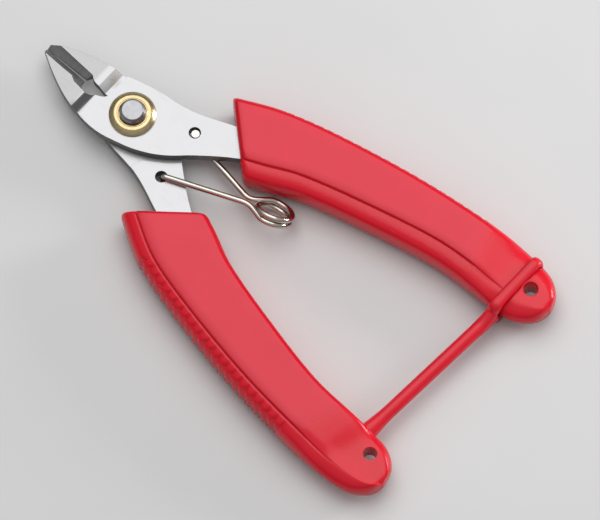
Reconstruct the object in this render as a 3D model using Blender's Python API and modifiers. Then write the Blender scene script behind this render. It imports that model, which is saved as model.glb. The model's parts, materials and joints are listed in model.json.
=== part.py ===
"""A flush cutter: two lapped steel levers on a riveted pivot, with moulded grips, a spring and a strap."""

import math

import bmesh
import bpy
from mathutils import Matrix, Vector

MM = 0.001

# Every size below is in millimetres, measured from the pivot: +X to the tails, +Y to the top lever's handle.
JAW_REACH = 25.5
TAIL_REACH = 100.0
GRIP_HALF_HEIGHT = 4.8
PIVOT_PLACE = (-(TAIL_REACH - JAW_REACH) / 2, 0.0, GRIP_HALF_HEIGHT)

# Levers: height is counted away from the lap plane, upwards on the top lever and downwards on the bottom one.
LAP_GAP = 0.15
PLATE_FACE = 2.4
TANG_STEP = 0.45
TANG_BACK = LAP_GAP - TANG_STEP
JOGGLE_DROP = (PLATE_FACE + LAP_GAP) / 2
JAW_TOP = PLATE_FACE - JOGGLE_DROP
CUTTING_EDGE_HEIGHT = -0.85
TOP_BEVEL = [(-26.5, 1.4), (-16.8, 1.6), (-14.9, 2.4), (-12.5, 2.6)]
BOTTOM_BEVEL = [(-26.5, 2.05), (-13.3, 1.55)]
TOP_JOGGLE = (-9.4, -12.0)
BOTTOM_JOGGLE = (-8.6, -10.6)

# Pivot: rivet shank, the two flanged bushings around it, and the bores through the levers.
SHANK_RADIUS = 2.4
SLEEVE_INNER_RADIUS = 2.5
SLEEVE_OUTER_RADIUS = 3.2
LEVER_BORE_RADIUS = 3.35
FLANGE_RADIUS = 5.3
FLANGE_CROWN_RADIUS = 4.25
FLANGE_BORE_RADIUS = 3.15
FLANGE_THICKNESS = 1.15
SEAT_GAP = 0.1
HEAD_RADIUS = 2.95
HEAD_CROWN_RADIUS = 2.15
TOP_HEAD_HEIGHT = 5.3
BOTTOM_HEAD_HEIGHT = 4.5
FLANGE_RIM = 0.4
FLANGE_SEAT = 0.2
HEAD_SEAT = 0.3
ROUND_STEPS = 48
SMALL_ROUND_STEPS = 24
CUTTER_REACH = 6.0

# Spring: wire, the holes that its ends hook into, and its coil between the handles.
WIRE_RADIUS = 0.62
TOP_SPRING_HOLE = (13.3, 6.0)
BOTTOM_SPRING_HOLE = (14.2, -6.2)
SPRING_HOLE_RADIUS = 1.4
COIL_CENTRE = Vector((38.7, 4.1, 0.0))
COIL_RADIUS = 4.05
COIL_AXIS = Vector((-0.153, 0.740, 0.654)).normalized()
COIL_ACROSS = Vector((0.933, 0.326, -0.151)).normalized()
COIL_PITCH = 1.45
COIL_FIRST_ANGLE = 126.0
COIL_LAST_ANGLE = -471.0

# Grips, strap and loop.
TOP_HANDLE_SHIFT = (0.45, -0.9)
TOP_HANDLE_LEAN = 0.004
BOTTOM_HANDLE_SHIFT = (0.3, -1.4)
BOTTOM_HANDLE_LEAN = 0.009
TOP_FRONT_CORNER = (13.3, 19.0)
BOTTOM_FRONT_CORNER = (13.3, 18.0)
GRIP_ROUNDING = 2.4
TANG_CLEARANCE = 0.35
POCKET_SPARE = 0.3
TAIL_HALF_HEIGHT = 3.0
TAPER_START = 76.0
TAPER_END = 88.5
TOP_TAIL_HOLE = (94.2, 27.7)
BOTTOM_TAIL_HOLE = (93.5, -25.2)
TAIL_HOLE_RADIUS = 1.6
STRAP_RADIUS = 1.6
STRAP_ROOT = (89.1, -20.2)
STRAP_END_X = 91.3
STRAP_GAP = 0.3
LOOP_X = 91.0
LOOP_WIDTH = 2.8
LOOP_INNER = (19.0, 33.2, 3.25)
LOOP_WALL = 1.3
LOOP_WIDE_WALL = 1.6
LOOP_INNER_CORNER = 0.6
LOOP_OUTER_CORNER = 1.9
GROOVE_DEPTH = 0.35

SHARP = "VECTOR"
SMOOTH = "AUTO"

# Edges of the steel tang, from just ahead of the grip to its hidden end.
TANG_INNER_EDGE = [(16.6, 1.7), (24.4, 7.7), (33.0, 12.6), (44.0, 16.6), (54.0, 19.9)]
TANG_OUTER_EDGE = [(52.8, 24.6), (42.0, 21.6), (31.0, 18.2), (18.6, 13.05), (8.9, 9.35)]


def new_collection(name):
    collection = bpy.data.collections.new(name)
    bpy.context.scene.collection.children.link(collection)
    return collection


def new_material(name, colour, roughness, metallic):
    material = bpy.data.materials.new(name)
    material.use_nodes = True
    shader = material.node_tree.nodes["Principled BSDF"]
    shader.inputs["Base Color"].default_value = (*colour, 1.0)
    shader.inputs["Roughness"].default_value = roughness
    shader.inputs["Metallic"].default_value = metallic
    return material


def add_part(name, mesh, material=None):
    """Hangs a finished mesh, in metres about the pivot, on the pivot; without a material it is a cutter."""
    part = bpy.data.objects.new(name, mesh)
    part.parent = pivot
    if material:
        mesh.materials.clear()
        mesh.materials.append(material)
        parts.objects.link(part)
    else:
        part.hide_render = True
        part.display_type = "WIRE"
        cutters.objects.link(part)
    return part


def evaluated_mesh(obj):
    bpy.context.view_layer.update()
    graph = bpy.context.evaluated_depsgraph_get()
    return bpy.data.meshes.new_from_object(obj.evaluated_get(graph))


def welded(mesh):
    shape = bmesh.new()
    shape.from_mesh(mesh)
    bmesh.ops.remove_doubles(shape, verts=shape.verts, dist=0.002 * MM)
    bmesh.ops.recalc_face_normals(shape, faces=shape.faces)
    shape.to_mesh(mesh)
    shape.free()
    return mesh


def mesh_of_curve(name, curve):
    """Turns curve data into a closed mesh and removes the curve."""
    guide = bpy.data.objects.new(name + "_guide", curve)
    cutters.objects.link(guide)
    mesh = welded(evaluated_mesh(guide))
    mesh.name = name
    bpy.data.objects.remove(guide)
    return mesh


def plate_mesh(name, corners, low, high, resolution=5):
    """A flat plate: corners are (x, y, handle type), and its faces stand at the heights low and high."""
    curve = bpy.data.curves.new(name, "CURVE")
    curve.dimensions = "2D"
    curve.fill_mode = "BOTH"
    curve.extrude = (high - low) / 2 * MM
    curve.resolution_u = resolution
    spline = curve.splines.new("BEZIER")
    spline.use_cyclic_u = True
    spline.bezier_points.add(len(corners) - 1)
    for point, (x, y, handle) in zip(spline.bezier_points, corners):
        point.co = (x * MM, y * MM, 0.0)
        point.handle_left_type = handle
        point.handle_right_type = handle
    mesh = mesh_of_curve(name, curve)
    mesh.transform(Matrix.Translation((0.0, 0.0, (low + high) / 2 * MM)))
    return mesh


def wire_mesh(name, points, radius, widths=None):
    """A round bar along points, with an optional width factor for each of them."""
    curve = bpy.data.curves.new(name, "CURVE")
    curve.dimensions = "3D"
    curve.bevel_depth = radius * MM
    curve.bevel_resolution = 2
    curve.use_fill_caps = True
    spline = curve.splines.new("POLY")
    spline.points.add(len(points) - 1)
    for index, place in enumerate(points):
        spline.points[index].co = (*(Vector(place) * MM), 1.0)
        spline.points[index].radius = widths[index] if widths else 1.0
    return mesh_of_curve(name, curve)


def turned_mesh(name, profile, closed):
    """Spins (radius, height) points about Z; they run down the outer side first."""
    shape = bmesh.new()
    points = [shape.verts.new((radius * MM, 0.0, height * MM)) for radius, height in profile]
    for first, second in zip(points, points[1:] + points[:1] if closed else points[1:]):
        shape.edges.new((first, second))
    mesh = bpy.data.meshes.new(name + "_profile")
    shape.to_mesh(mesh)
    shape.free()
    guide = bpy.data.objects.new(name + "_guide", mesh)
    cutters.objects.link(guide)
    screw = guide.modifiers.new("turn", "SCREW")
    screw.steps = ROUND_STEPS
    screw.render_steps = ROUND_STEPS
    screw.use_merge_vertices = True
    screw.merge_threshold = 0.00001
    solid = welded(evaluated_mesh(guide))
    solid.name = name
    bpy.data.objects.remove(guide)
    return solid


def peg(name, place, radius, low, high):
    """A round cutter that stands along Z."""
    shape = bmesh.new()
    middle = Vector((place[0], place[1], (low + high) / 2)) * MM
    bmesh.ops.create_cone(
        shape,
        cap_ends=True,
        segments=ROUND_STEPS if radius > SHANK_RADIUS else SMALL_ROUND_STEPS,
        radius1=radius * MM,
        radius2=radius * MM,
        depth=(high - low) * MM,
        matrix=Matrix.Translation(middle),
    )
    mesh = bpy.data.meshes.new(name)
    shape.to_mesh(mesh)
    shape.free()
    return add_part(name, mesh)


def block(name, low, high):
    """A box cutter between two opposite corners."""
    shape = bmesh.new()
    size = Vector(high) - Vector(low)
    middle = (Vector(high) + Vector(low)) / 2
    place = Matrix.Translation(middle * MM) @ Matrix.Diagonal((*(size * MM), 1.0))
    bmesh.ops.create_cube(shape, size=1.0, matrix=place)
    mesh = bpy.data.meshes.new(name)
    shape.to_mesh(mesh)
    shape.free()
    return add_part(name, mesh)


def cut(part, cutter):
    boolean = part.modifiers.new(cutter.name, "BOOLEAN")
    boolean.operation = "DIFFERENCE"
    boolean.solver = "EXACT"
    boolean.object = cutter


def baked(part):
    """Makes the modifiers' result the part's own mesh."""
    mesh = welded(evaluated_mesh(part))
    part.modifiers.clear()
    part.data = mesh
    return part


def sliced(mesh, places):
    """Adds an edge loop across the mesh at each X."""
    shape = bmesh.new()
    shape.from_mesh(mesh)
    for x in places:
        whole = shape.verts[:] + shape.edges[:] + shape.faces[:]
        bmesh.ops.bisect_plane(shape, geom=whole, plane_co=(x * MM, 0, 0), plane_no=(1, 0, 0), dist=1e-7)
    shape.to_mesh(mesh)
    shape.free()


def ramp(value, start, end):
    return min(1.0, max(0.0, (value - start) / (end - start)))


def joggle(mesh, side, start, end):
    """Bends the plate ahead of the pivot towards the lap plane, so that both jaws lie level."""
    sliced(mesh, (start, end))
    for vertex in mesh.vertices:
        vertex.co.z -= side * JOGGLE_DROP * MM * ramp(vertex.co.x / MM, start, end)


def bevel_cutter(name, side, ends):
    """The wedge that grinds a jaw's bevel: ends are (x, width) at its two ends."""
    shape = bmesh.new()
    reach = 2.0
    for x, width in ends:
        slope = width / (JAW_TOP - CUTTING_EDGE_HEIGHT)
        top_y = side * slope * (reach - CUTTING_EDGE_HEIGHT)
        section = [(0.0, CUTTING_EDGE_HEIGHT), (top_y, reach)]
        section += [(-side * reach, reach), (-side * reach, CUTTING_EDGE_HEIGHT)]
        for y, z in section:
            shape.verts.new((x * MM, y * MM, z * MM))
    bmesh.ops.convex_hull(shape, input=shape.verts)
    mesh = bpy.data.meshes.new(name)
    shape.to_mesh(mesh)
    shape.free()
    return add_part(name, mesh)


def make_lever(name, side, outline, recess, hole, joggle_span, bevels):
    """A stamped plate: thinned at the lap, bored, joggled to its jaw, and ground to a cutting edge."""
    low, high = sorted((side * TANG_BACK, side * PLATE_FACE))
    lever = add_part(name, plate_mesh(name, outline, low, high), steel)
    low, high = sorted((side * -PLATE_FACE, side * LAP_GAP))
    cut(lever, add_part(name + "_lap_recess", plate_mesh(name + "_lap_recess", recess, low, high)))
    cut(lever, peg(name + "_pivot_bore", (0.0, 0.0), LEVER_BORE_RADIUS, -CUTTER_REACH, CUTTER_REACH))
    cut(lever, peg(name + "_spring_bore", hole, SPRING_HOLE_RADIUS, -CUTTER_REACH, CUTTER_REACH))
    baked(lever)
    joggle(lever.data, side, *joggle_span)
    for bevel in bevels:
        cut(lever, bevel)
    return lever


def top_lever_outline():
    jaw = [(-25.5, -0.15, SHARP), (-25.35, -1.15, SHARP), (-19.6, -4.3, SMOOTH), (-13.4, -6.75, SMOOTH)]
    lower_edge = [(-5.2, -8.35, SMOOTH), (2.1, -7.1, SMOOTH), (7.6, -5.1, SMOOTH), (12.0, -2.4, SMOOTH)]
    inner_edge = [(x, y, SMOOTH) for x, y in TANG_INNER_EDGE[:-1]] + [(*TANG_INNER_EDGE[-1], SHARP)]
    outer_edge = [(*TANG_OUTER_EDGE[0], SHARP)] + [(x, y, SMOOTH) for x, y in TANG_OUTER_EDGE[1:]]
    upper_edge = [(0.2, 8.0, SMOOTH), (-4.9, 6.75, SMOOTH), (-7.0, 6.1, SHARP)]
    front_edge = [(-7.0, -0.2, SHARP), (-7.7, -1.1, SMOOTH), (-9.1, -1.9, SMOOTH), (-10.2, -2.65, SHARP)]
    notch = [(-12.6, -2.65, SMOOTH), (-13.9, -1.6, SMOOTH), (-14.2, -0.3, SHARP)]
    return jaw + lower_edge + inner_edge + outer_edge + upper_edge + front_edge + notch


def bottom_lever_outline():
    jaw = [(-25.5, 0.15, SHARP), (-25.5, 1.0, SHARP), (-19.5, 3.9, SMOOTH), (-15.2, 5.1, SMOOTH)]
    upper_edge = [(-9.8, 6.25, SMOOTH), (-4.9, 6.85, SMOOTH), (0.2, 7.6, SMOOTH), (3.6, 7.1, SMOOTH)]
    bend = [(7.6, 5.1, SMOOTH), (12.0, 2.4, SMOOTH)]
    inner_edge = [(x, -y, SMOOTH) for x, y in TANG_INNER_EDGE[:-1]]
    inner_edge.append((TANG_INNER_EDGE[-1][0], -TANG_INNER_EDGE[-1][1], SHARP))
    outer_edge = [(TANG_OUTER_EDGE[0][0], -TANG_OUTER_EDGE[0][1], SHARP)]
    outer_edge += [(x, -y, SMOOTH) for x, y in TANG_OUTER_EDGE[1:]]
    lower_edge = [(0.2, -7.9, SMOOTH), (-4.9, -6.65, SMOOTH), (-7.0, -6.0, SHARP)]
    front_edge = [(-7.0, -0.4, SHARP), (-7.8, 0.4, SHARP), (-10.5, 0.5, SMOOTH), (-12.2, 0.75, SMOOTH)]
    notch = [(-13.3, 1.45, SHARP), (-14.0, 0.3, SHARP)]
    return jaw + upper_edge + bend + inner_edge + outer_edge + lower_edge + front_edge + notch


def lap_recess_outline(side):
    """Everything ahead of a broken line that keeps clear of the other lever's edge."""
    step = [(6.9, 10.5), (8.4, 6.1), (12.8, 3.1), (17.4, -1.0), (19.5, -5.0)]
    around = [(-30.0, -14.0), (-30.0, 14.0)]
    return [(x, side * y, SHARP) for x, y in step + around]


def grip_outline(front_corner):
    """The moulded handle seen from above, on the +Y side."""
    front = [(28.2, 5.7, SHARP), (*front_corner, SHARP)]
    outer = [(24.5, 24.2, SMOOTH), (39.3, 28.4, SMOOTH), (60.0, 32.5, SMOOTH), (81.0, 34.8, SMOOTH)]
    tail = [(93.0, 34.5, SMOOTH), (98.2, 31.8, SMOOTH), (100.0, 27.9, SMOOTH), (98.7, 23.6, SMOOTH)]
    inner = [(94.5, 20.6, SMOOTH), (88.0, 20.0, SMOOTH), (73.0, 19.2, SMOOTH), (55.0, 15.3, SMOOTH)]
    throat = [(41.0, 11.4, SMOOTH), (33.5, 8.0, SMOOTH)]
    return front + outer + tail + inner + throat


def tang_pocket_outline(side):
    inner = [(x, y - TANG_CLEARANCE) for x, y in TANG_INNER_EDGE[:-1]]
    end = [(54.6, 19.7), (53.2, 25.3)]
    outer = [(x, y + TANG_CLEARANCE) for x, y in TANG_OUTER_EDGE[1:]]
    corners = [(x, y, SMOOTH) for x, y in inner]
    corners += [(x, y, SHARP) for x, y in end]
    corners += [(x, y, SMOOTH) for x, y in outer]
    corners[0] = (*corners[0][:2], SHARP)
    corners[-1] = (*corners[-1][:2], SHARP)
    return [(x, side * y, handle) for x, y, handle in corners]


def round_rims(mesh):
    """Rounds the rims of a plate, whose two flat faces are first made one face each."""
    shape = bmesh.new()
    shape.from_mesh(mesh)
    flat = math.radians(0.1)
    bmesh.ops.dissolve_limit(shape, angle_limit=flat, verts=[], edges=shape.edges)
    rims = [edge for edge in shape.edges if edge.calc_face_angle() > math.radians(60)]
    bmesh.ops.bevel(
        shape,
        geom=rims,
        offset=GRIP_ROUNDING * MM,
        offset_type="OFFSET",
        segments=3,
        profile=0.5,
        affect="EDGES",
        clamp_overlap=False,
        material=-1,
    )
    bmesh.ops.recalc_face_normals(shape, faces=shape.faces)
    shape.to_mesh(mesh)
    shape.free()


def in_handle_place(x, y):
    """Each handle leans a little and stands off its mirror place about the pivot's X axis."""
    shift = TOP_HANDLE_SHIFT if y > 0 else BOTTOM_HANDLE_SHIFT
    lean = TOP_HANDLE_LEAN if y > 0 else BOTTOM_HANDLE_LEAN
    return x + shift[0], y + shift[1] + lean * x


def make_grip(name, side, front_corner, tail_hole):
    """One moulded handle: round edges, a tail that thins out, a lanyard hole and the tang's pocket."""
    outline = [(*in_handle_place(x, side * y), handle) for x, y, handle in grip_outline(front_corner)]
    body = plate_mesh(name, outline, -GRIP_HALF_HEIGHT, GRIP_HALF_HEIGHT)
    round_rims(body)
    sliced(body, (TAPER_START, TAPER_END))
    for vertex in body.vertices:
        thinning = ramp(vertex.co.x / MM, TAPER_START, TAPER_END)
        vertex.co.z *= 1.0 + thinning * (TAIL_HALF_HEIGHT / GRIP_HALF_HEIGHT - 1.0)
    grip = add_part(name, body, red_plastic)
    cut(grip, peg(name + "_lanyard_hole", tail_hole, TAIL_HOLE_RADIUS, -CUTTER_REACH, CUTTER_REACH))
    low, high = sorted((side * (TANG_BACK - POCKET_SPARE), side * (PLATE_FACE + POCKET_SPARE)))
    pocket = plate_mesh(name + "_tang_pocket", tang_pocket_outline(side), low, high)
    cut(grip, add_part(name + "_tang_pocket", pocket))
    return grip


def make_strap_groove(grip):
    """A shallow seat across the outer edge of the tail, where the loop lies."""
    half = LOOP_WIDTH / 2 + STRAP_GAP
    low = (LOOP_X - half, LOOP_INNER[1] - GROOVE_DEPTH, -CUTTER_REACH)
    high = (LOOP_X + half, LOOP_INNER[1] + CUTTER_REACH, CUTTER_REACH)
    cut(grip, block("strap_groove", low, high))


def bushing_profile(side):
    """A flanged sleeve: the flange lies on the lever's face, and the sleeve lines its bore."""
    foot = PLATE_FACE + SEAT_GAP
    crown = foot + FLANGE_THICKNESS
    seat = foot + FLANGE_SEAT
    profile = [
        (FLANGE_CROWN_RADIUS, crown),
        (FLANGE_RADIUS, foot + FLANGE_RIM),
        (FLANGE_RADIUS, foot),
        (SLEEVE_OUTER_RADIUS, foot),
        (SLEEVE_OUTER_RADIUS, LAP_GAP),
        (SLEEVE_INNER_RADIUS, LAP_GAP),
        (SLEEVE_INNER_RADIUS, seat),
        (FLANGE_BORE_RADIUS, seat),
        (FLANGE_BORE_RADIUS, crown),
    ]
    return profile if side > 0 else [(radius, -height) for radius, height in reversed(profile)]


def rivet_profile():
    """A shank with a chamfered head at each end, sunk into the bushings' flanges."""
    shoulder = PLATE_FACE + SEAT_GAP + HEAD_SEAT
    chamfer = HEAD_RADIUS - HEAD_CROWN_RADIUS
    top = [(0.0, TOP_HEAD_HEIGHT), (HEAD_CROWN_RADIUS, TOP_HEAD_HEIGHT)]
    top += [(HEAD_RADIUS, TOP_HEAD_HEIGHT - chamfer), (HEAD_RADIUS, shoulder), (SHANK_RADIUS, shoulder)]
    bottom = [(SHANK_RADIUS, -shoulder), (HEAD_RADIUS, -shoulder)]
    bottom += [(HEAD_RADIUS, -BOTTOM_HEAD_HEIGHT + chamfer)]
    bottom += [(HEAD_CROWN_RADIUS, -BOTTOM_HEAD_HEIGHT), (0.0, -BOTTOM_HEAD_HEIGHT)]
    return top + bottom


def coil_point(angle):
    turn = math.radians(angle)
    toward = COIL_AXIS.cross(COIL_ACROSS)
    progress = (COIL_FIRST_ANGLE - angle) / (COIL_FIRST_ANGLE - COIL_LAST_ANGLE)
    rise = (progress - 0.5) * COIL_PITCH * (COIL_FIRST_ANGLE - COIL_LAST_ANGLE) / 360
    round_part = math.cos(turn) * COIL_ACROSS - math.sin(turn) * toward
    return COIL_CENTRE + COIL_RADIUS * round_part + COIL_AXIS * rise


def eased(before, corner, after, reach, steps):
    """Points of a round bend that replaces a corner, within reach of it."""
    start = corner + (before - corner).normalized() * reach
    end = corner + (after - corner).normalized() * reach
    fractions = [step / steps for step in range(steps + 1)]
    return [start * (1 - t) ** 2 + corner * 2 * t * (1 - t) + end * t**2 for t in fractions]


def spring_path():
    """From the bottom lever's hook, along its leg, round the coil and back to the top lever's hook."""
    clear = WIRE_RADIUS + 0.12
    low_hook = Vector((BOTTOM_SPRING_HOLE[0] + 0.35, BOTTOM_SPRING_HOLE[1] + 0.1, -PLATE_FACE - 0.2))
    low_corner = Vector((*low_hook.xy, -TANG_BACK + clear))
    low_bend = Vector((33.3, 1.7, 1.3))
    high_bend = Vector((32.2, 3.0, -0.6))
    high_hook = Vector((TOP_SPRING_HOLE[0] + 0.25, TOP_SPRING_HOLE[1] - 0.05, PLATE_FACE - 0.15))
    high_corner = Vector((*high_hook.xy, TANG_BACK - clear))
    turns = 34
    span = COIL_LAST_ANGLE - COIL_FIRST_ANGLE
    coil = [coil_point(COIL_FIRST_ANGLE + span * step / turns) for step in range(turns + 1)]
    path = [low_hook] + eased(low_hook, low_corner, low_bend, 0.9, 4)
    path += eased(low_corner, low_bend, coil[0], 1.6, 4) + coil
    path += eased(coil[-1], high_bend, high_corner, 1.4, 4)
    path += eased(high_bend, high_corner, high_hook, 0.9, 4) + [high_hook]
    return path


def rounded_rectangle(left, right, half, radius):
    steps = 5
    corners = [(right - radius, half - radius, 0), (left + radius, half - radius, 90)]
    corners += [(left + radius, radius - half, 180), (right - radius, radius - half, 270)]
    points = []
    for x, y, first in corners:
        for step in range(steps + 1):
            angle = math.radians(first + 90 * step / steps)
            points.append((x + radius * math.cos(angle), y + radius * math.sin(angle)))
    return points


def make_strap_loop():
    """The band round the top grip's tail: thin over and under it, thicker where the strap pulls."""
    left, right, half = LOOP_INNER
    inside = rounded_rectangle(left, right, half, LOOP_INNER_CORNER)
    outside = rounded_rectangle(left - LOOP_WIDE_WALL, right + LOOP_WALL, half + LOOP_WALL, LOOP_OUTER_CORNER)
    curve = bpy.data.curves.new("strap_loop", "CURVE")
    curve.dimensions = "2D"
    curve.fill_mode = "BOTH"
    curve.extrude = LOOP_WIDTH / 2 * MM
    for points in (outside, inside):
        spline = curve.splines.new("POLY")
        spline.use_cyclic_u = True
        spline.points.add(len(points) - 1)
        for point, (x, y) in zip(spline.points, points):
            point.co = (x * MM, y * MM, 0.0, 1.0)
    mesh = mesh_of_curve("strap_loop", curve)
    upright = Matrix(((0, 0, 1, LOOP_X * MM), (1, 0, 0, 0), (0, 1, 0, 0), (0, 0, 0, 1)))
    mesh.transform(upright)
    return add_part("strap_loop", mesh, red_plastic)


def make_closing_strap():
    """The elastic strap from the bottom grip's tail to the loop, a little thicker at its root."""
    root = Vector((*STRAP_ROOT, 0.0))
    end = Vector((STRAP_END_X, LOOP_INNER[0] - LOOP_WIDE_WALL - STRAP_GAP, 0.0))
    stations = [0.0, 0.08, 0.3, 0.6, 1.0]
    widths = [1.2, 1.05, 1.0, 1.0, 1.0]
    points = [root.lerp(end, fraction) for fraction in stations]
    strap = wire_mesh("closing_strap", points, STRAP_RADIUS, widths)
    return add_part("closing_strap", strap, red_plastic)


for old in list(bpy.data.objects):
    bpy.data.objects.remove(old)

parts = new_collection("flush_cutter")
cutters = new_collection("cutters")
pivot = bpy.data.objects.new("pivot", None)
pivot.location = Vector(PIVOT_PLACE) * MM
parts.objects.link(pivot)

steel = new_material("satin_steel", (0.62, 0.62, 0.61), 0.32, 1.0)
spring_steel = new_material("spring_steel", (0.55, 0.53, 0.48), 0.2, 1.0)
brass = new_material("turned_brass", (0.72, 0.5, 0.2), 0.25, 1.0)
red_plastic = new_material("red_plastic", (0.62, 0.02, 0.04), 0.4, 0.0)

make_lever(
    "top_lever",
    1,
    top_lever_outline(),
    lap_recess_outline(1),
    TOP_SPRING_HOLE,
    TOP_JOGGLE,
    [
        bevel_cutter("top_lever_bevel", -1, TOP_BEVEL[0:2]),
        bevel_cutter("top_lever_bevel_flare", -1, TOP_BEVEL[1:3]),
        bevel_cutter("top_lever_bevel_root", -1, TOP_BEVEL[2:4]),
    ],
)
make_lever(
    "bottom_lever",
    -1,
    bottom_lever_outline(),
    lap_recess_outline(-1),
    BOTTOM_SPRING_HOLE,
    BOTTOM_JOGGLE,
    [bevel_cutter("bottom_lever_bevel", 1, BOTTOM_BEVEL)],
)
make_strap_groove(make_grip("top_grip", 1, TOP_FRONT_CORNER, TOP_TAIL_HOLE))
make_grip("bottom_grip", -1, BOTTOM_FRONT_CORNER, BOTTOM_TAIL_HOLE)
add_part("top_bushing", turned_mesh("top_bushing", bushing_profile(1), True), brass)
add_part("bottom_bushing", turned_mesh("bottom_bushing", bushing_profile(-1), True), brass)
add_part("pivot_rivet", turned_mesh("pivot_rivet", rivet_profile(), False), steel)
add_part("return_spring", wire_mesh("return_spring", spring_path(), WIRE_RADIUS), spring_steel)
make_strap_loop()
make_closing_strap()

for part in parts.objects:
    if part.type == "MESH":
        part.data.shade_smooth()
        part.data.set_sharp_from_angle(angle=math.radians(35))
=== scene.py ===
"""The finished look of a small flush cutter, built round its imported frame."""

import json
import math

import bmesh
import bpy
from mathutils import Matrix, Vector


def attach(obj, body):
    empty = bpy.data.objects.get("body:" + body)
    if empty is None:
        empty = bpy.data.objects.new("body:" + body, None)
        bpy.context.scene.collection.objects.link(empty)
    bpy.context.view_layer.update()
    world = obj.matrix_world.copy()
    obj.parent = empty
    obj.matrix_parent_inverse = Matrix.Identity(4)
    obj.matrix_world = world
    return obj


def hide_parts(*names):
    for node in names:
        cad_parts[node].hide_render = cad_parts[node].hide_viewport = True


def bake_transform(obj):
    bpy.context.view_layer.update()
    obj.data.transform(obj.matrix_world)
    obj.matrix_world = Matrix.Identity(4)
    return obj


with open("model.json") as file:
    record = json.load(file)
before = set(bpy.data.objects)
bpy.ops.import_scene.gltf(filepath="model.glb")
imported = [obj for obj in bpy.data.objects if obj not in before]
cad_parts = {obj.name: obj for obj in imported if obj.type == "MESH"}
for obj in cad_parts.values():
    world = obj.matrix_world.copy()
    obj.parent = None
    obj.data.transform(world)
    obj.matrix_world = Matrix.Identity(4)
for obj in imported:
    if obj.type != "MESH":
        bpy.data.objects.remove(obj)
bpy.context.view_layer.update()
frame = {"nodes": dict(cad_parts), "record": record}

# Bench: a long lens looks down at the tool from the side of its lower handle. A wide softbox hangs where the
# flat faces mirror it, a small one stands low behind the tails, and the room darkens towards the horizon.
VIEW_AZIMUTH = math.radians(-48.2)
VIEW_ELEVATION = math.radians(68.4)
VIEW_LENS = 1200.0
DISTANCE_PER_LENS = 3.711 / 1000
VIEW_DISTANCE = DISTANCE_PER_LENS * VIEW_LENS
VIEW_MIDDLE = Vector((0.01325, -0.0004, 0.0048))


def direction(azimuth, elevation):
    level = math.cos(elevation)
    return Vector((level * math.cos(azimuth), level * math.sin(azimuth), math.sin(elevation)))


def aimed(name, data, azimuth, elevation, distance):
    """Stands a camera or a lamp off the tool and turns it towards the middle of the view."""
    holder = bpy.data.objects.new(name, data)
    bpy.context.scene.collection.objects.link(holder)
    away = direction(azimuth, elevation)
    holder.location = VIEW_MIDDLE + away * distance
    holder.rotation_euler = away.to_track_quat("Z", "Y").to_euler()
    return holder


lens = bpy.data.cameras.new("bench_camera")
lens.lens = VIEW_LENS
lens.sensor_width = 36.0
lens.clip_start = 0.5
lens.clip_end = 20.0
bpy.context.scene.camera = aimed("bench_camera", lens, VIEW_AZIMUTH, VIEW_ELEVATION, VIEW_DISTANCE)
bpy.context.scene.view_settings.view_transform = "Standard"


def softbox(name, azimuth, elevation, distance, width, height, power):
    lamp = bpy.data.lights.new(name, "AREA")
    lamp.shape = "RECTANGLE"
    lamp.size = width
    lamp.size_y = height
    lamp.energy = power
    aimed(name, lamp, math.radians(azimuth), math.radians(elevation), distance)


softbox("overhead_softbox", 131.8, 68.4, 0.62, 0.62, 0.62, 1.75)
softbox("tail_softbox", 64.0, 14.0, 0.5, 0.16, 0.10, 1.1)

room = bpy.data.worlds.new("room")
room.use_nodes = True
bpy.context.scene.world = room
sky = room.node_tree.nodes
toward = sky.new("ShaderNodeTexCoord")
height = sky.new("ShaderNodeSeparateXYZ")
fall_off = sky.new("ShaderNodeValToRGB")
fall_off.color_ramp.elements[0].position = 0.0
fall_off.color_ramp.elements[0].color = (0.10, 0.10, 0.105, 1.0)
fall_off.color_ramp.elements[1].position = 0.9
fall_off.color_ramp.elements[1].color = (0.56, 0.56, 0.57, 1.0)
join = room.node_tree.links.new
join(toward.outputs["Generated"], height.inputs[0])
join(height.outputs["Z"], fall_off.inputs[0])
join(fall_off.outputs["Color"], sky["Background"].inputs["Color"])


class Wire:
    """A shader socket that arithmetic works on, one Math node for each operation."""

    def __init__(self, finish, socket):
        self.finish = finish
        self.socket = socket

    def math(self, operation, *values):
        inputs = dict(enumerate(values))
        return self.finish.node("ShaderNodeMath", {"operation": operation}, inputs)

    def __add__(self, other):
        return self.math("ADD", self, other)

    def __sub__(self, other):
        return self.math("SUBTRACT", self, other)

    def __rsub__(self, other):
        return self.math("SUBTRACT", other, self)

    def __mul__(self, other):
        return self.math("MULTIPLY", self, other)

    def __abs__(self):
        return self.math("ABSOLUTE", self)

    __radd__ = __add__
    __rmul__ = __mul__

    def between(self, low, high):
        """0 below low and 1 above high, with a soft step from one to the other."""
        settings = {"interpolation_type": "SMOOTHSTEP"}
        inputs = {"Value": self, "From Min": low, "From Max": high}
        return self.finish.node("ShaderNodeMapRange", settings, inputs)


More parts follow.
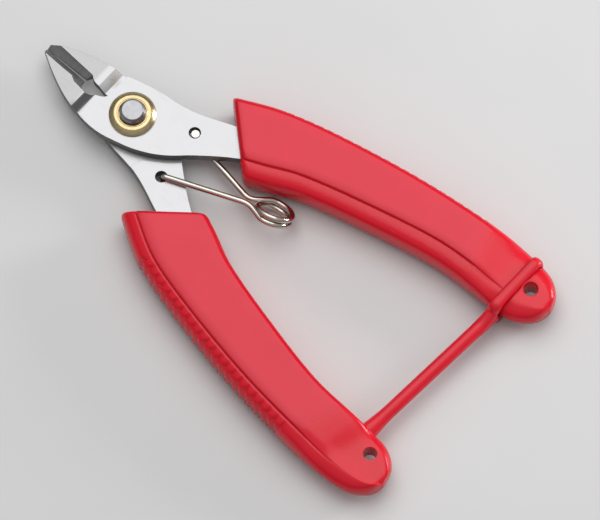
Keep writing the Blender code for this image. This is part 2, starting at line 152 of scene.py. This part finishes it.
class Finish:
    """A material in the making: its shader's fixed values, and one method that adds any other node."""

    def __init__(self, name, colour, **fixed):
        self.material = bpy.data.materials.new(name)
        self.material.use_nodes = True
        self.tree = self.material.node_tree
        self.shader = self.tree.nodes["Principled BSDF"]
        self.shader.inputs["Base Color"].default_value = (*colour, 1.0)
        for socket, value in fixed.items():
            self.shader.inputs[socket.replace("_", " ").title().replace("Ior", "IOR")].default_value = value
        whole = self.node("ShaderNodeTexCoord", {}, {}, "Object")
        self.place = self.node("ShaderNodeVectorMath", {"operation": "SCALE"}, {0: whole, "Scale": 1000.0})
        self.facing = self.node("ShaderNodeNewGeometry", {}, {}, "Normal")

    def node(self, kind, settings, inputs, output=0):
        made = self.tree.nodes.new(kind)
        for key, value in settings.items():
            if key == "stops":
                ramp = made.color_ramp.elements
                while len(ramp) < len(value):
                    ramp.new(0.5)
                for stop, (position, shade) in zip(ramp, value):
                    stop.position = position
                    stop.color = (*shade, 1.0)
            else:
                setattr(made, key, value)
        for key, value in inputs.items():
            if isinstance(value, Wire):
                self.tree.links.new(value.socket, made.inputs[key])
            else:
                made.inputs[key].default_value = value
        return Wire(self, made.outputs[output])

    def noise(self, scale, detail=3.0, stretch=(1.0, 1.0, 1.0), offset=(0.0, 0.0, 0.0)):
        """Cloudy noise on the piece's own millimetres, squeezed by stretch."""
        placing = {"Vector": self.place, "Scale": stretch, "Location": offset}
        moved = self.node("ShaderNodeMapping", {}, placing)
        return self.node("ShaderNodeTexNoise", {}, {"Vector": moved, "Scale": scale, "Detail": detail}, "Fac")

    def axis(self, letter, vector=None):
        return self.node("ShaderNodeSeparateXYZ", {}, {0: vector or self.place}, letter)

    def mixed(self, factor, first, second):
        """A colour between first and second."""
        inputs = {0: factor}
        for socket, colour in ((6, first), (7, second)):
            inputs[socket] = colour if isinstance(colour, Wire) else (*colour, 1.0)
        return self.node("ShaderNodeMix", {"data_type": "RGBA"}, inputs, 2)

    def near(self, place, low, high):
        """1 within low of a place on the piece, fading to 0 at high."""
        gap = self.node("ShaderNodeVectorMath", {"operation": "DISTANCE"}, {0: self.place, 1: place}, "Value")
        return 1 - gap.between(low, high)

    def use(self, **links):
        for socket, value in links.items():
            self.tree.links.new(value.socket, self.shader.inputs[socket.replace("_", " ")])

    def bumped(self, height, distance, strength=1.0):
        inputs = {"Height": height, "Distance": distance, "Strength": strength}
        return self.node("ShaderNodeBump", {}, inputs, "Normal")


# Floor: a plain pale bench top, a little uneven in tone so that it isn't a flat card.
# It isn't part of the tool.
bench = Finish("bench_top", (0.8, 0.8, 0.79), roughness=0.6)
mottle = bench.noise(0.02)
bench.use(Base_Color=bench.mixed(mottle, (0.74, 0.74, 0.735), (0.8, 0.8, 0.79)))
top = bmesh.new()
bmesh.ops.create_grid(top, x_segments=1, y_segments=1, size=1.4)
floor_mesh = bpy.data.meshes.new("bench_top")
top.to_mesh(floor_mesh)
top.free()
floor_mesh.materials.append(bench.material)
floor = bpy.data.objects.new("bench_top", floor_mesh)
bpy.context.scene.collection.objects.link(floor)


# Levers: two blanks stamped from tool-steel strip, lapped at the pivot, joggled so that both jaws lie level
# and ground to a bevel along the cutting edges. The faces are a tumbled satin and the sheared rims stay dark.
# The cutting edges are drawn closer together than the frame's solids stand. The joggle slopes carry painted
# light in their colour: a dark painted shade on the top lever, and a pale painted reflection on the bottom
# lever, whose slope is also made mostly non-metal and rougher.
PIVOT = Vector(frame["record"]["behaviour"]["joints"][0]["pos_m"])
TO_ROW = Matrix.Translation(PIVOT) @ Matrix.Scale(0.001, 4)
RIM_BREAK = 0.14
SHARP_RIM = math.radians(48)
FLAT_MATCH = math.radians(0.6)
JOGGLE_FADE = 0.1
LEVER_SMOOTH_ANGLE = 12.0
JAW_ROOT = -13.9
JAW_GAP = 0.2
GAP_CLOSED = 0.15


def finished(name, mesh_in_progress, finish, smooth_angle=35.0):
    """Turns a bmesh in millimetres about the pivot into a piece in the row frame."""
    mesh_in_progress.transform(TO_ROW)
    mesh = bpy.data.meshes.new(name)
    mesh_in_progress.to_mesh(mesh)
    mesh_in_progress.free()
    mesh.materials.append(finish.material)
    mesh.shade_smooth()
    mesh.set_sharp_from_angle(angle=math.radians(smooth_angle))
    piece = bpy.data.objects.new(name, mesh)
    bpy.context.scene.collection.objects.link(piece)
    return piece


def satin_steel(name, stain_place, joggle, joggle_painted_light, joggle_dull):
    steel = Finish(name, (0.5, 0.5, 0.5), metallic=1.0, roughness=0.3)
    up = abs(steel.axis("Z", steel.facing))
    rim = 1 - up.between(0.25, 0.6)
    tilted = up.between(0.35, 0.5) * (1 - up.between(0.93, 0.97))
    ground = tilted * (1 - steel.axis("X").between(-50.5, -49.5))
    cloud = steel.noise(0.35)
    speck = steel.noise(5.0, 2.0)
    drawn = steel.noise(1.6, 4.0, (0.06, 1.6, 1.0))
    shear = steel.noise(2.6, 3.0, (1.0, 1.0, 0.12))
    wheel = steel.noise(4.5, 2.0, (1.6, 0.12, 0.12))
    scratch = steel.noise(1.1, 1.0, (0.12, 3.4, 1.0), (3.0, 1.0, 0.0)).between(0.68, 0.74)
    length = steel.axis("X")
    past_start = length.between(joggle[0] - JOGGLE_FADE, joggle[0] + JOGGLE_FADE)
    past_end = length.between(joggle[1] - JOGGLE_FADE, joggle[1] + JOGGLE_FADE)
    bend = past_start * (1 - past_end) * up.between(0.5, 0.6) * (1 - up.between(0.97, 0.985))
    plate = steel.mixed(cloud * 0.6 + speck * 0.4, (0.40, 0.40, 0.405), (0.52, 0.52, 0.525))
    jaw = 1 - length.between(-49.9, -48.9)
    jaw_face = steel.mixed(cloud * 0.5 + wheel * 0.5, (0.26, 0.265, 0.26), (0.38, 0.38, 0.375))
    bright = steel.mixed(jaw * 0.8, plate, jaw_face)
    # Painted light: the joggle slope's colour is swapped for a painted tone, dark painted shade on the top
    # lever and a pale painted reflection on the bottom one.
    face = steel.mixed(bend, bright, joggle_painted_light)
    stain = steel.near(stain_place, 0.3, 2.4) * speck.between(0.3, 0.6) * 0.8
    stained = steel.mixed(stain, face, (0.22, 0.15, 0.10))
    sheared = steel.mixed(shear, (0.09, 0.09, 0.09), (0.26, 0.26, 0.255))
    honed = steel.mixed(wheel, (0.16, 0.16, 0.16), (0.5, 0.5, 0.5))
    colour = steel.mixed(ground, steel.mixed(rim, stained, sheared), honed)
    rough = 0.27 + cloud * 0.08 + speck * 0.05 + rim * 0.12 + scratch * 0.06
    rough = rough + ground * 0.1 + bend * joggle_dull * 0.3
    relief = drawn * 0.35 + speck * 0.35 + shear * rim * 1.5 + wheel * ground * 1.2 - scratch * 0.35
    # On the bottom lever the joggle slope loses most of its metal so that its pale painted reflection reads
    # as diffuse brightness.
    metal = 1 - bend * joggle_dull
    steel.use(Base_Color=colour, Roughness=rough, Metallic=metal, Normal=steel.bumped(relief, 0.00002, 0.6))
    return steel


def dressed_blank(node, name, finish, body):
    """A merged copy of the lever's frame solid whose stamped rims get a fine broken edge."""
    blank = bmesh.new()
    blank.from_mesh(frame["nodes"][node].data)
    blank.transform(TO_ROW.inverted())
    bmesh.ops.remove_doubles(blank, verts=blank.verts, dist=0.002)
    for vertex in blank.verts:
        if vertex.co.x < JAW_ROOT and abs(vertex.co.y) < JAW_GAP:
            vertex.co.y *= GAP_CLOSED
    bmesh.ops.dissolve_limit(blank, angle_limit=FLAT_MATCH, verts=blank.verts, edges=blank.edges)
    rims = [edge for edge in blank.edges if edge.is_manifold and edge.calc_face_angle() > SHARP_RIM]
    bmesh.ops.bevel(
        blank,
        geom=rims,
        offset=RIM_BREAK,
        offset_type="OFFSET",
        segments=2,
        profile=0.5,
        affect="EDGES",
        clamp_overlap=True,
        material=-1,
    )
    bmesh.ops.triangulate(blank, faces=[face for face in blank.faces if len(face.verts) > 4])
    piece = finished(name, blank, finish, LEVER_SMOOTH_ANGLE)
    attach(piece, body)
    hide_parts(node)


# Joggle tones are painted light: 0.24 is painted shade on the top lever, 0.62 with the slope mostly non-metal
# a painted pale reflection on the bottom lever.
top_steel = satin_steel("top_lever_steel", (-62.0, -4.0, 6.0), (-49.4, -46.5), (0.24, 0.24, 0.24), 0.0)
bottom_steel = satin_steel("bottom_lever_steel", (-45.9, 3.9, 5.9), (-47.9, -45.7), (0.62, 0.61, 0.6), 0.85)
dressed_blank("top_lever", "stamped_top_lever", top_steel, "top_half")
dressed_blank("bottom_lever", "stamped_bottom_lever", bottom_steel, "bottom_half")


# Bushings: a flanged brass sleeve pressed into each lever, turned on a lathe. The flange has a flat crown
# with a small lip round the bore, a long bevel outside it and a narrow upright rim.
FLANGE_FOOT = 2.5
FLANGE_PROFILE = [(5.3, 0.0), (5.3, 0.34), (5.14, 0.5), (4.32, 1.08), (4.16, 1.15), (3.56, 1.15)]
FLANGE_PROFILE += [(3.5, 1.08), (3.42, 1.15), (3.24, 1.15), (3.15, 1.06), (3.15, 0.2)]
SLEEVE_PROFILE = [(2.5, 0.2), (2.5, -2.35), (3.2, -2.35), (3.2, 0.0)]
TURN_STEPS = 96


def turned(profile):
    """Spins (radius, height) points a full turn about the pivot."""
    lathe = bmesh.new()
    points = [lathe.verts.new((radius, 0.0, height)) for radius, height in profile]
    chain = [lathe.edges.new(pair) for pair in zip(points, points[1:])]
    bmesh.ops.spin(
        lathe,
        geom=points + chain,
        axis=(0, 0, 1),
        cent=(0, 0, 0),
        angle=2 * math.pi,
        steps=TURN_STEPS,
        use_merge=True,
    )
    bmesh.ops.remove_doubles(lathe, verts=lathe.verts, dist=0.0005)
    bmesh.ops.recalc_face_normals(lathe, faces=lathe.faces)
    return lathe


brass = Finish("turned_brass", (0.8, 0.6, 0.28), metallic=1.0, roughness=0.2)
tarnish = brass.noise(0.9)
grime = brass.noise(7.0, 3.0, offset=(5.0, 2.0, 0.0)).between(0.66, 0.76)
tool_marks = brass.noise(6.0, 2.0, (1.0, 1.0, 4.0))
clean = brass.mixed(tarnish, (0.50, 0.37, 0.17), (0.72, 0.60, 0.37))
brass.use(
    Base_Color=brass.mixed(grime * 0.7, clean, (0.12, 0.07, 0.03)),
    Roughness=0.17 + tarnish * 0.13 + grime * 0.3,
    Normal=brass.bumped(tool_marks * 0.6 - grime, 0.00003, 0.5),
)
whole_bushing = [(radius, height + FLANGE_FOOT) for radius, height in FLANGE_PROFILE + SLEEVE_PROFILE]
whole_bushing.append(whole_bushing[0])
for name, node, body, side in (
    ("flanged_top_bushing", "top_bushing", "top_half", 1),
    ("flanged_bottom_bushing", "bottom_bushing", "bottom_half", -1),
):
    profile = [(radius, side * height) for radius, height in whole_bushing]
    bushing = finished(name, turned(profile), brass)
    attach(bushing, body)
    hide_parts(node)


# Pivot rivet: a hardened steel pin through both sleeves, its ends turned to a wide flat crown with a chamfer
# and a tiny broken edge, polished a little by rubbing.
RIVET_TOP = [(0.0, 5.3), (2.3, 5.3), (2.4, 5.26), (2.88, 4.7), (2.95, 4.55), (2.95, 2.8), (2.4, 2.8)]
RIVET_BOTTOM = [(2.4, -2.8), (2.95, -2.8), (2.95, -3.75), (2.88, -3.9), (2.4, -4.46), (2.3, -4.5)]
RIVET_BOTTOM += [(0.0, -4.5)]
rivet_steel = Finish("rivet_steel", (0.5, 0.5, 0.52), metallic=1.0, roughness=0.3)
rub = rivet_steel.noise(0.8)
pit = rivet_steel.noise(6.0, 2.0).between(0.68, 0.76)
rings = rivet_steel.noise(3.0, 2.0, (1.0, 1.0, 6.0))
rivet_steel.use(
    Base_Color=rivet_steel.mixed(rub * 0.8 + pit * 0.4, (0.40, 0.40, 0.41), (0.28, 0.28, 0.29)),
    Roughness=0.24 + rub * 0.16 + pit * 0.1,
    Normal=rivet_steel.bumped(rings * 0.5 - pit, 0.00003, 0.4),
)
rivet = finished("turned_pivot_rivet", turned(RIVET_TOP + RIVET_BOTTOM), rivet_steel, 20.0)
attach(rivet, "top_half")
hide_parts("pivot_rivet")


# Return spring: hard-drawn steel wire, bright and slightly oiled. Each end is hooked through a hole in its
# lever, the legs bend in beside each other, and a tilted coil between the handles pushes them apart.
WIRE_RADIUS = 0.7
WIRE_END_RADIUS = 0.9
COIL_CENTRE = Vector((38.7, 4.1, 0.0))
COIL_RADIUS = 4.05
COIL_AXIS = Vector((-0.153, 0.740, 0.654)).normalized()
COIL_ACROSS = Vector((0.933, 0.326, -0.151)).normalized()
COIL_PITCH = 1.45
COIL_START = 126.0
COIL_END = -471.0
COIL_STEPS = 100
LOW_HOOK = Vector((14.55, -6.1, -2.6))
LOW_CORNER = Vector((14.55, -6.1, 1.04))
LOW_BEND = Vector((33.3, 1.7, 1.3))
HIGH_BEND = Vector((32.2, 3.0, -0.6))
HIGH_CORNER = Vector((13.55, 5.95, -1.04))
HIGH_HOOK = Vector((13.55, 5.95, 2.3))


def coil_point(progress):
    turn = math.radians(COIL_START + (COIL_END - COIL_START) * progress)
    rise = (progress - 0.5) * COIL_PITCH * (COIL_START - COIL_END) / 360
    circle = math.cos(turn) * COIL_ACROSS - math.sin(turn) * COIL_AXIS.cross(COIL_ACROSS)
    return COIL_CENTRE + COIL_RADIUS * circle + COIL_AXIS * rise


def rounded_corner(before, corner, after, reach, steps):
    start = corner + (before - corner).normalized() * reach
    end = corner + (after - corner).normalized() * reach
    shares = [step / steps for step in range(steps + 1)]
    return [start * (1 - t) ** 2 + corner * 2 * t * (1 - t) + end * t**2 for t in shares]


def swept(shape, path, sizes, around, across):
    """Draws a ring along a path; sizes gives its radius along across, and its other one, at each point."""
    last = len(path) - 1
    tangents = [(path[min(i + 1, last)] - path[max(i - 1, 0)]).normalized() for i in range(len(path))]
    ring = bmesh.ops.create_circle(shape, segments=around, radius=1.0)["verts"]
    unit = [vertex.co.copy() for vertex in ring]
    edges = list({edge for vertex in ring for edge in vertex.link_edges})
    bmesh.ops.contextual_create(shape, geom=edges)
    for index, (place, along) in enumerate(zip(path, tangents)):
        across = (across - along * across.dot(along)).normalized()
        upward = along.cross(across)
        if index:
            grown = bmesh.ops.extrude_edge_only(shape, edges=edges)["geom"]
            ring = [item for item in grown if isinstance(item, bmesh.types.BMVert)]
            edges = [item for item in grown if isinstance(item, bmesh.types.BMEdge)]
            edges = [edge for edge in edges if all(vertex in ring for vertex in edge.verts)]
        wide, thick = sizes[index]
        for vertex, corner in zip(ring, unit):
            vertex.co = place + across * corner.x * wide + upward * corner.y * thick
    bmesh.ops.contextual_create(shape, geom=edges)
    bmesh.ops.recalc_face_normals(shape, faces=shape.faces)


wire_path = [LOW_HOOK] + rounded_corner(LOW_HOOK, LOW_CORNER, LOW_BEND, 0.95, 8)
coil = [coil_point(step / COIL_STEPS) for step in range(COIL_STEPS + 1)]
wire_path += rounded_corner(LOW_CORNER, LOW_BEND, coil[0], 1.8, 8) + coil
wire_path += rounded_corner(coil[-1], HIGH_BEND, HIGH_CORNER, 1.6, 8)
wire_path += rounded_corner(HIGH_BEND, HIGH_CORNER, HIGH_HOOK, 0.95, 8) + [HIGH_HOOK]
wire = bmesh.new()
wire_sizes = [(WIRE_RADIUS, WIRE_RADIUS)] * (len(wire_path) - 1) + [(WIRE_END_RADIUS, WIRE_END_RADIUS)]
swept(wire, wire_path, wire_sizes, 20, Vector((1, 0, 0)))
spring_steel = Finish("spring_wire", (0.62, 0.6, 0.56), metallic=1.0, roughness=0.13)
oil = spring_steel.noise(0.5)
draw_lines = spring_steel.noise(2.4, 3.0, (0.3, 2.2, 2.2))
spring_steel.use(
    Base_Color=spring_steel.mixed(oil, (0.66, 0.64, 0.60), (0.50, 0.46, 0.38)),
    Roughness=0.10 + oil * 0.08 + draw_lines * 0.06,
    Normal=spring_steel.bumped(draw_lines, 0.00003, 0.35),
)
spring = finished("wire_return_spring", wire, spring_steel, 60.0)
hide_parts("return_spring")
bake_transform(spring)


# Grips: one moulding of hard red plastic round each steel tang. Both broad faces carry a matt panel, raised
# above a rolled shoulder on one side and running almost to the edge on the other, and the flanks are glossy.
# Hollows cut along the outer flank leave ribs. The flanks' colour is darkened towards the bench as painted
# shade, the step at the raised panel's edge is darkened as a painted crease shadow, and the upper panel's
# pinker colour is a painted sheen.
GRIP_INNER_LINE = [(28.2, 5.7), (33.5, 8.0), (41.0, 11.4), (55.0, 15.3), (73.0, 19.2), (88.0, 20.0)]
GRIP_INNER_LINE += [(94.5, 20.6), (98.7, 23.6), (100.0, 27.9)]
GRIP_OUTER_LINE = [(24.5, 24.2), (39.3, 28.4), (60.0, 32.5), (81.0, 34.8), (93.0, 34.5)]
GRIP_OUTER_LINE += [(98.2, 31.8), (100.0, 27.9)]
FRONT_CORNERS = {1: (13.3, 19.0), -1: (13.3, 18.0)}
HANDLE_SHIFTS = {1: (0.45, -0.9), -1: (0.3, -1.4)}
HANDLE_LEANS = {1: 0.004, -1: 0.009}
GRIP_HALF_HEIGHT = 4.8
TAIL_HALF_HEIGHT = 3.15
TAIL_DROP = (77.0, 90.0)
FULL_WIDTH = 15.0
TOP_INNER_FLANK = [(0.0, 0.0), (0.03, 1.2), (0.12, 2.2), (0.4, 3.0), (0.95, 3.62), (1.8, 3.98), (2.9, 4.2)]
TOP_INNER_FLANK += [(3.8, 4.36), (4.0, 4.28), (4.15, 4.36), (4.3, 4.7), (4.45, 4.8)]
TOP_OUTER_FLANK = [(0.0, 0.0), (0.03, 0.9), (0.07, 1.6), (0.16, 2.3), (0.3, 2.95), (0.55, 3.6), (0.85, 4.1)]
TOP_OUTER_FLANK += [(1.2, 4.42), (1.5, 4.6), (1.8, 4.72), (2.1, 4.8)]
BOTTOM_INNER_FLANK = [(0.0, 0.0), (0.03, 1.2), (0.06, 2.2), (0.14, 3.0), (0.3, 3.6), (0.55, 4.1)]
BOTTOM_INNER_FLANK += [(0.85, 4.42), (1.15, 4.6), (1.4, 4.7), (1.7, 4.77), (2.0, 4.8)]
BOTTOM_OUTER_FLANK = [(0.0, 0.0), (0.05, 0.9), (0.12, 1.6), (0.28, 2.3), (0.6, 3.0), (1.1, 3.55), (1.8, 3.98)]
BOTTOM_OUTER_FLANK += [(2.6, 4.28), (2.95, 4.36), (3.12, 4.28), (3.25, 4.36), (3.4, 4.7), (3.55, 4.8)]
FLANKS = {1: (TOP_INNER_FLANK, TOP_OUTER_FLANK), -1: (BOTTOM_INNER_FLANK, BOTTOM_OUTER_FLANK)}
SHOULDER_REACH = 4.95
PANEL_STEP = 5
RIB_SPAN = (12.5, 63.5)
RIB_PITCH = 2.42
RIB_DEPTH = 0.95
RIB_RINGS = 9
RIB_REACH = 4.25
RIB_LEAN = 0.22
RIB_CREST = 0.7
FRONT_ROUND = 1.5
TAIL_DOME_WIDTH = 10.5
TAIL_HOLES = {1: (94.2, 27.7), -1: (93.5, -25.2)}
TAIL_HOLE_RADIUS = 1.6


def soft_step(value, start, end):
    share = min(1.0, max(0.0, (value - start) / (end - start)))
    return share * share * (3 - 2 * share)


def smooth_line(points, steps=16):
    """A Catmull-Rom curve through the points."""
    ends = [points[0] * 2 - points[1]] + points + [points[-1] * 2 - points[-2]]
    line = []
    for a, b, c, d in zip(ends, ends[1:], ends[2:], ends[3:]):
        for step in range(steps):
            t = step / steps
            bend = (a * 2 - b * 5 + c * 4 - d) * t * t + (b * 3 - a - c * 3 + d) * t**3
            line.append((b * 2 + (c - a) * t + bend) / 2)
    return line + [points[-1]]


def along(line, distance):
    """The point at a distance along a line of points."""
    for start, end in zip(line, line[1:]):
        length = (end - start).length
        if distance <= length:
            return start.lerp(end, distance / length)
        distance -= length
    return line[-1]


def length_of(line):
    return sum((end - start).length for start, end in zip(line, line[1:]))


def rib_cut(distance, height):
    """How far a rib's hollow goes in: a wedge that narrows towards the panel, steeper on one side."""
    if not RIB_SPAN[0] < distance < RIB_SPAN[1]:
        return 0.0
    share = abs(height) / RIB_REACH
    if share >= 1:
        return 0.0
    phase = ((distance - RIB_SPAN[0]) / RIB_PITCH + RIB_LEAN * share) % 1.0
    width = 0.9 * (1 - share) ** 0.5
    if phase > width:
        return 0.0
    across = phase / width
    shape = across / RIB_CREST if across < RIB_CREST else (1 - across) / (1 - RIB_CREST)
    return RIB_DEPTH * shape * (0.85 + 0.15 * (1 - share))


def grip_ring(flanks, inner, outer, distance, from_front):
    """One cross-section, from the inner flank over the panel to the outer flank and back under."""
    width = (outer - inner).length
    fit = min(1.0, width / FULL_WIDTH)
    middle_x = (inner.x + outer.x) / 2
    half = GRIP_HALF_HEIGHT + (TAIL_HALF_HEIGHT - GRIP_HALF_HEIGHT) * soft_step(middle_x, *TAIL_DROP)
    dome = min(1.0, width / TAIL_DOME_WIDTH)
    half *= math.sqrt(dome * (2 - dome))
    raised = 1 - soft_step(middle_x, 84.0, 91.0)
    rounding = 0.0
    if from_front < FRONT_ROUND:
        rounding = FRONT_ROUND * (1 - math.sqrt(1 - (1 - from_front / FRONT_ROUND) ** 2))
    tall = (half - rounding) / GRIP_HALF_HEIGHT
    side = (outer - inner) / width

    def lifted(inset, height):
        smooth = GRIP_HALF_HEIGHT * math.sqrt(1 - (1 - min(inset, SHOULDER_REACH) / SHOULDER_REACH) ** 2)
        return (height * raised + smooth * (1 - raised)) * tall

    quarter = []
    for inset, height in flanks[0]:
        quarter.append((inner + side * (inset * fit + rounding * 0.7), lifted(inset, height)))
    last = quarter[-1]
    far = []
    for inset, height in flanks[1]:
        hollow = rib_cut(distance, height)
        place = outer - side * ((inset + hollow) * fit + rounding * 0.3)
        far.append((place, lifted(inset, height) - 0.25 * hollow))
    span = [(last[0].lerp(far[-1][0], step / PANEL_STEP), last[1]) for step in range(1, PANEL_STEP)]
    top = quarter + span + far[::-1]
    under = [(place, -height) for place, height in top[-2:0:-1]]
    return top + under


def in_handle_place(side, place, height):
    """Each handle leans a little and stands off its mirror place about the pivot's X axis."""
    shift_x, shift_y = HANDLE_SHIFTS[side]
    return Vector((place.x + shift_x, side * place.y + shift_y + HANDLE_LEANS[side] * place.x, height))


def moulded_grip(side):
    inner_line = smooth_line([Vector(point) for point in GRIP_INNER_LINE])
    outer_line = smooth_line([Vector(point) for point in [FRONT_CORNERS[side]] + GRIP_OUTER_LINE])
    inner_length, outer_length = length_of(inner_line), length_of(outer_line)
    rib_step = RIB_PITCH / RIB_RINGS
    ribbed = int((RIB_SPAN[1] - RIB_SPAN[0]) / rib_step)
    front = [FRONT_ROUND * (1 - math.cos(math.radians(15 * step))) for step in range(6)]
    stations = front + [2.0 + step * 1.3 for step in range(8)]
    stations += [RIB_SPAN[0] + step * rib_step for step in range(ribbed + 1)]
    start = stations[-1] + 0.8
    rest = outer_length - start
    stations += [start + rest * math.sin(math.radians(90 * step / 40)) for step in range(40)]
    shape = bmesh.new()
    ring, edges = [], []
    for distance in stations:
        share = distance / outer_length
        inner = along(inner_line, share * inner_length)
        outer = along(outer_line, distance)
        section = grip_ring(FLANKS[side], inner, outer, distance, distance)
        if not ring:
            ring = bmesh.ops.create_circle(shape, segments=len(section), radius=1.0)["verts"]
            edges = list({edge for vertex in ring for edge in vertex.link_edges})
            bmesh.ops.contextual_create(shape, geom=edges)
        else:
            grown = bmesh.ops.extrude_edge_only(shape, edges=edges)["geom"]
            ring = [item for item in grown if isinstance(item, bmesh.types.BMVert)]
            edges = [item for item in grown if isinstance(item, bmesh.types.BMEdge)]
            edges = [edge for edge in edges if all(vertex in ring for vertex in edge.verts)]
        for vertex, (place, height) in zip(ring, section):
            vertex.co = in_handle_place(side, place, height)
    bmesh.ops.pointmerge(shape, verts=ring, merge_co=in_handle_place(side, outer_line[-1], 0.0))
    bmesh.ops.recalc_face_normals(shape, faces=shape.faces)
    return shape


def bored(piece, place, radius):
    """Drills the lanyard hole, with a rounded mouth at each face."""
    mouth = 0.45
    profile = [(0.0, 6.0), (radius + 1.1, 6.0), (radius + 1.1, TAIL_HALF_HEIGHT + 0.55)]
    for step in range(5):
        turn = math.radians(22.5 * step)
        height = TAIL_HALF_HEIGHT + 0.1 - mouth * (1 - math.cos(turn))
        profile.append((radius + mouth * (1 - math.sin(turn)), height))
    profile += [(radius, -height) for radius, height in profile[::-1]]
    drill = turned(profile)
    drill.transform(TO_ROW @ Matrix.Translation((*place, 0.0)))
    mesh = bpy.data.meshes.new("lanyard_drill")
    drill.to_mesh(mesh)
    drill.free()
    tool = bpy.data.objects.new("lanyard_drill", mesh)
    bpy.context.scene.collection.objects.link(tool)
    cut = piece.modifiers.new("lanyard_hole", "BOOLEAN")
    cut.operation = "DIFFERENCE"
    cut.solver = "EXACT"
    cut.object = tool
    settle(piece)
    bpy.data.objects.remove(tool)


def settle(piece):
    """Makes the modifiers' result the piece's own mesh."""
    bpy.context.view_layer.update()
    graph = bpy.context.evaluated_depsgraph_get()
    mesh = bpy.data.meshes.new_from_object(piece.evaluated_get(graph))
    piece.modifiers.clear()
    piece.data = mesh


red = Finish("grip_plastic", (0.75, 0.01, 0.03), roughness=0.4, ior=1.48)
upward = abs(red.axis("Z", red.facing))
# Painted shade: the steep step just below the raised panel's top is darkened as a crease shadow, only on the
# front part of the grip.
painted_crease_shade = red.axis("Z").between(9.02, 9.1) * (1 - upward.between(0.8, 0.95))
painted_crease_shade = painted_crease_shade * (1 - red.axis("X").between(42.0, 50.0))
panel = upward.between(0.95, 0.99) * red.axis("Z").between(9.3, 9.5) * (1 - red.axis("X").between(38.0, 58.0))
pigment = red.noise(0.12)
grain = red.noise(3.2, 3.0)
scuff = red.noise(0.9, 3.0, (0.2, 1.4, 1.0)).between(0.66, 0.78)
# Painted shade: the flank colour darkens towards the bench, to about a third of its strength at the bottom.
shade = 0.34 + red.axis("Z").between(0.0, 8.2) * 0.66
flank_with_painted_shade = red.mixed(shade, (0.12, 0.0, 0.004), red.mixed(pigment, (0.78, 0.001, 0.016), (0.88, 0.002, 0.024)))
# The top panel is matt for real through its higher roughness; its pinker colour is a painted sheen of the
# overhead softbox, on the front part of the grip only.
matt_with_painted_sheen = red.mixed(pigment, (0.78, 0.030, 0.055), (0.88, 0.038, 0.068))
red.use(
    Base_Color=red.mixed(painted_crease_shade * 0.4, red.mixed(panel, flank_with_painted_shade, matt_with_painted_sheen), (0.2, 0.0, 0.008)),
    Roughness=0.20 + panel * 0.26 + grain * 0.08 + scuff * 0.08,
    Normal=red.bumped(grain - scuff * 0.3, 0.00005, 0.35),
)
for name, node, body, side in (
    ("moulded_top_grip", "top_grip", "top_half", 1),
    ("moulded_bottom_grip", "bottom_grip", "bottom_half", -1),
):
    grip = finished(name, moulded_grip(side), red, 50.0)
    bored(grip, TAIL_HOLES[side], TAIL_HOLE_RADIUS)
    grip.data.set_sharp_from_angle(angle=math.radians(50))
    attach(grip, body)
    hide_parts(node)


# Closing strap: soft red elastomer moulded in one with its loop. The round cord grows out of the lower grip's
# tail, and the flat loop is stretched round the upper grip's tail to hold the jaws shut.
CORD_ROOT = Vector((89.0, -21.2, 0.0))
CORD_END = Vector((91.2, 18.6, 0.0))
CORD_RADIUS = 1.6
LOOP_X = 91.0
LOOP_MIDDLE_LINE = (18.5, 33.85, 3.9)
LOOP_CORNER = 1.7
LOOP_HALF_WIDTH = 1.4
LOOP_HALF_THICK = 0.72
VOXEL = 0.0002

cord = bmesh.new()
cord_path = [CORD_ROOT.lerp(CORD_END, step / 30) for step in range(31)]
cord_sizes = []
for step in range(31):
    swell = 1 + 0.28 * (1 - soft_step(step, 0, 5)) + 0.12 * soft_step(step, 25, 30)
    cord_sizes.append((CORD_RADIUS * swell, CORD_RADIUS * swell))
swept(cord, cord_path, cord_sizes, 32, Vector((1, 0, 0)))
near_y, far_y, high = LOOP_MIDDLE_LINE
around_tail = ((near_y, -high), (near_y, high), (far_y, high), (far_y, -high))
corners = [Vector((0, *corner)) for corner in around_tail]
loop_path = []
for index, corner in enumerate(corners):
    loop_path += rounded_corner(corners[index - 1], corner, corners[(index + 1) % 4], LOOP_CORNER, 6)
loop_path.append(loop_path[0])
loop_path = [Vector((LOOP_X, point.y, point.z)) for point in loop_path]
swept(cord, loop_path, [(LOOP_HALF_WIDTH, LOOP_HALF_THICK)] * len(loop_path), 24, Vector((1, 0, 0)))
for level in (1, -1):
    strand = [Vector((91.1, 13.0, 0.0)), Vector((91.1, 17.6, 0.9 * level)), Vector((91.0, 21.5, 4.1 * level))]
    strand_path = rounded_corner(strand[0], strand[1], strand[2], 4.4, 14)
    taper = [(1.55 - 0.012 * step, 1.45 - 0.05 * step) for step in range(15)]
    swept(cord, strand_path, taper, 28, Vector((1, 0, 0)))
rubber = Finish("strap_elastomer", (0.8, 0.01, 0.03), roughness=0.32, ior=1.5)
bloom = rubber.noise(0.25)
skin = rubber.noise(4.0, 2.0)
# Painted shade: the strap's colour darkens towards the bench, so its lower parts read as shaded.
under = 1 - rubber.axis("Z").between(0.0, 5.6)
fresh = rubber.mixed(bloom, (0.72, 0.002, 0.016), (0.86, 0.004, 0.028))
rubber.use(
    Base_Color=rubber.mixed(under, fresh, (0.2, 0.0, 0.006)),
    Roughness=0.27 + bloom * 0.06 + skin * 0.06,
    Normal=rubber.bumped(skin, 0.00004, 0.3),
)
strap = finished("elastic_closing_strap", cord, rubber, 60.0)
fuse = strap.modifiers.new("fuse", "REMESH")
fuse.mode = "VOXEL"
fuse.voxel_size = VOXEL
fuse.use_smooth_shade = True
ease = strap.modifiers.new("ease", "SMOOTH")
ease.factor = 0.5
ease.iterations = 6
settle(strap)
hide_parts("closing_strap", "strap_loop")
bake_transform(strap)
